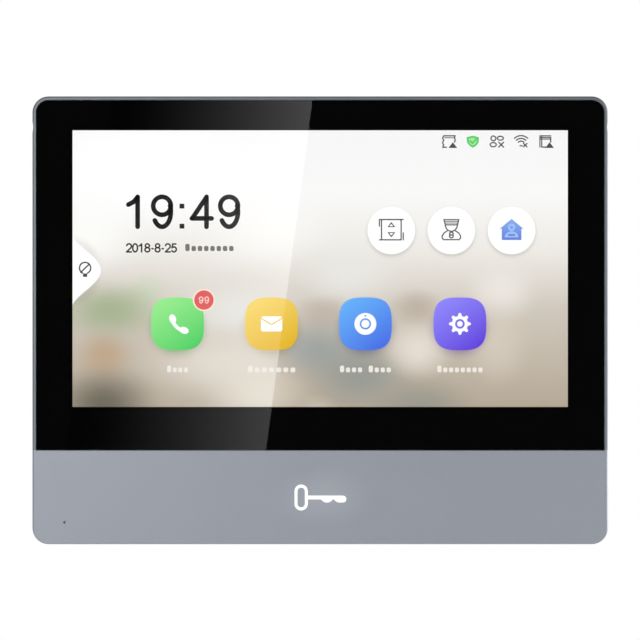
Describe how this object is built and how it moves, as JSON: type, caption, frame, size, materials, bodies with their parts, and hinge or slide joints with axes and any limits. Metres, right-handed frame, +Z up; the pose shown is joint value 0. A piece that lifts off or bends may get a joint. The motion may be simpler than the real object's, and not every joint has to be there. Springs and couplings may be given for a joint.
{
  "type": "video intercom monitor",
  "caption": "Wall-mounted video intercom monitor: landscape touch screen above a plain strip with a lit key symbol, hung on a steel wall plate.",
  "frame": {"origin": "middle of the wall plate's screw pattern, on its back face, which lies on the wall", "axes": "+X to the right as seen from the front, +Z up, and +Y into the wall; the screen faces -Y"},
  "size_m": [0.1786, 0.024, 0.139],
  "materials": {
    "front_paint": "satin silver-grey paint on plastic",
    "clear_glass": "flat polished cover glass",
    "black_ink": "printed border behind the glass",
    "black_foam": "foam and adhesive tape",
    "lcd_glass": "lit display cell",
    "white_plastic": "white reflector plastic",
    "clear_acrylic": "moulded light guide",
    "led_package": "small light-emitting diodes",
    "sheet_steel": "plated sheet",
    "screw_steel": "zinc-plated screws",
    "circuit_board": "green solder mask",
    "chip_black": "moulded packages",
    "tinplate": "tinned cover",
    "thermal_pad": "soft silicone pad",
    "ribbon_film": "flexible circuit film",
    "white_ribbon": "flat flexible cable",
    "socket_cream": "ribbon sockets",
    "terminal_green": "terminal blocks",
    "gold_contact": "plated springs",
    "black_rubber": "moulded rubber",
    "red_wire": "insulated lead",
    "black_wire": "insulated lead",
    "magnet_dark": "plated magnet and cap",
    "paper_cone": "pressed paper",
    "rear_plastic": "fine-textured light grey",
    "label_film": "blank silver label",
    "plate_steel": "galvanised sheet",
    "brass_bush": "knurled bush",
    "capacitor_blue": "sleeved cans",
    "button_grey": "switch button"
  },
  "bodies": {
    "plate": {"wall_plate": "plate_steel"},
    "monitor": {"front_frame": "front_paint", "cover_glass": "clear_glass", "glass_mask": "black_ink", "glass_adhesive": "black_foam", "lcd_cell": "lcd_glass", "backlight_frame": "white_plastic", "diffuser_sheets": "white_plastic", "light_guide_plate": "clear_acrylic", "backlight_leds": "led_package", "lcd_back_plate": "sheet_steel", "lcd_foam": "black_foam", "panel_bracket": "sheet_steel", "bracket_screws": "screw_steel", "key_light_guide": "clear_acrylic", "key_board": "circuit_board", "key_leds": "led_package", "key_screws": "screw_steel", "mic_capsule": "tinplate", "mic_boot": "black_rubber", "mic_wires": "red_wire", "speaker_gasket": "black_foam", "speaker_basket": "sheet_steel", "speaker_magnet": "magnet_dark", "speaker_wires": "black_wire", "main_board": "circuit_board", "board_screws": "screw_steel", "processor": "chip_black", "rf_shield": "tinplate", "thermal_pad": "thermal_pad", "small_chips": "chip_black", "inductors": "chip_black", "wifi_module": "tinplate", "board_sockets": "socket_cream", "lcd_ribbon": "ribbon_film", "touch_ribbon": "ribbon_film", "key_ribbon": "white_ribbon", "network_jack": "tinplate", "jack_contacts": "gold_contact", "power_header": "terminal_green", "alarm_header": "terminal_green", "connector_pins": "gold_contact", "reset_switch": "chip_black", "transformer": "chip_black", "capacitors": "capacitor_blue", "coin_cell_holder": "chip_black", "coin_cell": "tinplate", "wifi_antenna": "ribbon_film", "antenna_coax": "black_wire", "rear_cover": "rear_plastic", "rating_label": "label_film", "rear_screws": "screw_steel", "lock_insert": "brass_bush"},
    "cone": {"speaker_cone": "paper_cone"},
    "power_plug": {"power_plug": "terminal_green", "power_plug_screws": "screw_steel"},
    "alarm_plug": {"alarm_plug": "terminal_green", "alarm_plug_screws": "screw_steel"},
    "reset": {"reset_button": "button_grey"},
    "lock": {"locking_screw": "screw_steel"}
  },
  "joints": [
    {"name": "monitor_lift", "type": "slide", "parent": "plate", "child": "monitor", "axis": [0, 0, 1], "range_m": [0, 0.007]},
    {"name": "locking_screw_out", "type": "slide", "parent": "plate", "child": "lock", "axis": [0, 0, -1], "range_m": [0, 0.008]},
    {"name": "power_plug_out", "type": "slide", "parent": "monitor", "child": "power_plug", "axis": [0, 0, -1], "range_m": [0, 0.008]},
    {"name": "alarm_plug_out", "type": "slide", "parent": "monitor", "child": "alarm_plug", "axis": [0, 0, -1], "range_m": [0, 0.008]},
    {"name": "reset_button_press", "type": "slide", "parent": "monitor", "child": "reset", "axis": [0, -1, 0], "range_m": [0, 0.0003], "stiffness_N_per_m": 1500, "springref_m": -0.0002},
    {"name": "speaker_cone_travel", "type": "slide", "parent": "monitor", "child": "cone", "axis": [0, 1, 0], "range_m": [-0.0004, 0.0004], "stiffness_N_per_m": 800}
  ]
}
